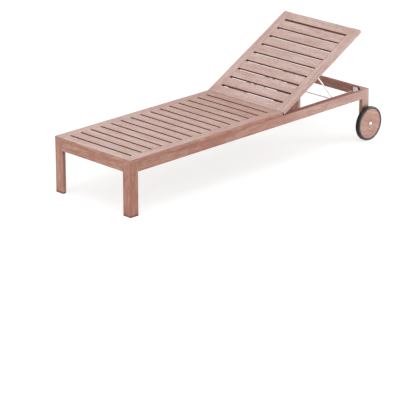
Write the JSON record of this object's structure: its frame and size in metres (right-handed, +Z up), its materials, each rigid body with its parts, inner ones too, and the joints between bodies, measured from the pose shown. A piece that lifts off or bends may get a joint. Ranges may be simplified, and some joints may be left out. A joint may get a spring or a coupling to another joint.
{
  "type": "sun lounger",
  "caption": "Slatted hardwood sun lounger with a hinged backrest held by a bent steel prop in notched rack plates, and two wheels at the head end.",
  "frame": {"origin": "middle of the footprint of the whole lounger, on the floor", "axes": "+X towards the head end, +Y to the right of a person lying on it, +Z up"},
  "size_m": [2.074, 0.7236, 0.7004],
  "materials": {
    "board_wood": "weathered oiled hardwood, satin",
    "frame_wood": "oiled hardwood, satin",
    "wheel_wood": "oiled hardwood, satin",
    "tyre_rubber": "smooth black rubber",
    "bush_plastic": "grey moulded plastic",
    "plated_steel": "zinc plated, satin",
    "prop_steel": "zinc plated, smooth",
    "stainless_steel": "stainless, satin",
    "cap_steel": "bright, smooth dome"
  },
  "bodies": {
    "frame": {"leg_foot_left": "frame_wood", "leg_foot_right": "frame_wood", "leg_head_left": "frame_wood", "leg_head_right": "frame_wood", "side_rail_left": "frame_wood", "side_rail_right": "frame_wood", "foot_rail": "frame_wood", "head_rail": "frame_wood", "centre_rail": "frame_wood", "rack_batten_left": "frame_wood", "rack_batten_right": "frame_wood", "seat_side_board_left": "board_wood", "seat_side_board_right": "board_wood", "seat_slat_01": "board_wood", "seat_slat_02": "board_wood", "seat_slat_03": "board_wood", "seat_slat_04": "board_wood", "seat_slat_05": "board_wood", "seat_slat_06": "board_wood", "seat_slat_07": "board_wood", "seat_slat_08": "board_wood", "seat_slat_09": "board_wood", "seat_slat_10": "board_wood", "seat_slat_11": "board_wood", "seat_slat_12": "board_wood", "seat_slat_13": "board_wood", "seat_slat_14": "board_wood", "seat_slat_15": "board_wood", "seat_slat_16": "board_wood", "rack_plates": "plated_steel", "corner_brackets": "plated_steel", "leg_bolts": "stainless_steel", "leg_nuts": "stainless_steel", "frame_screws": "stainless_steel", "hinge_seat_leaves": "stainless_steel", "hinge_pins": "stainless_steel", "axle_screws": "cap_steel"},
    "backrest": {"back_side_board_left": "board_wood", "back_side_board_right": "board_wood", "back_slat_01": "board_wood", "back_slat_02": "board_wood", "back_slat_03": "board_wood", "back_slat_04": "board_wood", "back_slat_05": "board_wood", "back_slat_06": "board_wood", "back_slat_07": "board_wood", "back_slat_08": "board_wood", "back_slat_09": "board_wood", "back_slat_10": "board_wood", "hinge_back_leaves": "stainless_steel", "back_screws": "stainless_steel", "prop_clips": "stainless_steel"},
    "prop": {"prop_rod": "prop_steel", "prop_crossbar": "prop_steel"},
    "wheel_left": {"wheel_disc_left": "wheel_wood", "tyre_left": "tyre_rubber", "wheel_bush_left": "bush_plastic"},
    "wheel_right": {"wheel_disc_right": "wheel_wood", "tyre_right": "tyre_rubber", "wheel_bush_right": "bush_plastic"}
  },
  "joints": [
    {"name": "backrest_hinge", "type": "hinge", "parent": "frame", "child": "backrest", "pos_m": [0.196, 0, 0.333], "axis": [0, -1, 0], "range_deg": [-28.4, 10.3]},
    {"name": "prop_pivot", "type": "hinge", "parent": "backrest", "child": "prop", "pos_m": [0.53648, 0, 0.48963], "axis": [0, -1, 0], "range_deg": [-27.6, 75.9]},
    {"name": "wheel_left_spin", "type": "hinge", "parent": "frame", "child": "wheel_left", "pos_m": [0.931, -0.34, 0.106], "axis": [0, 1, 0], "continuous": true},
    {"name": "wheel_right_spin", "type": "hinge", "parent": "frame", "child": "wheel_right", "pos_m": [0.931, 0.34, 0.106], "axis": [0, 1, 0], "continuous": true}
  ],
  "couplings": [
    {"joint": "prop_pivot", "follows": "backrest_hinge", "ratio": -2.669}
  ]
}
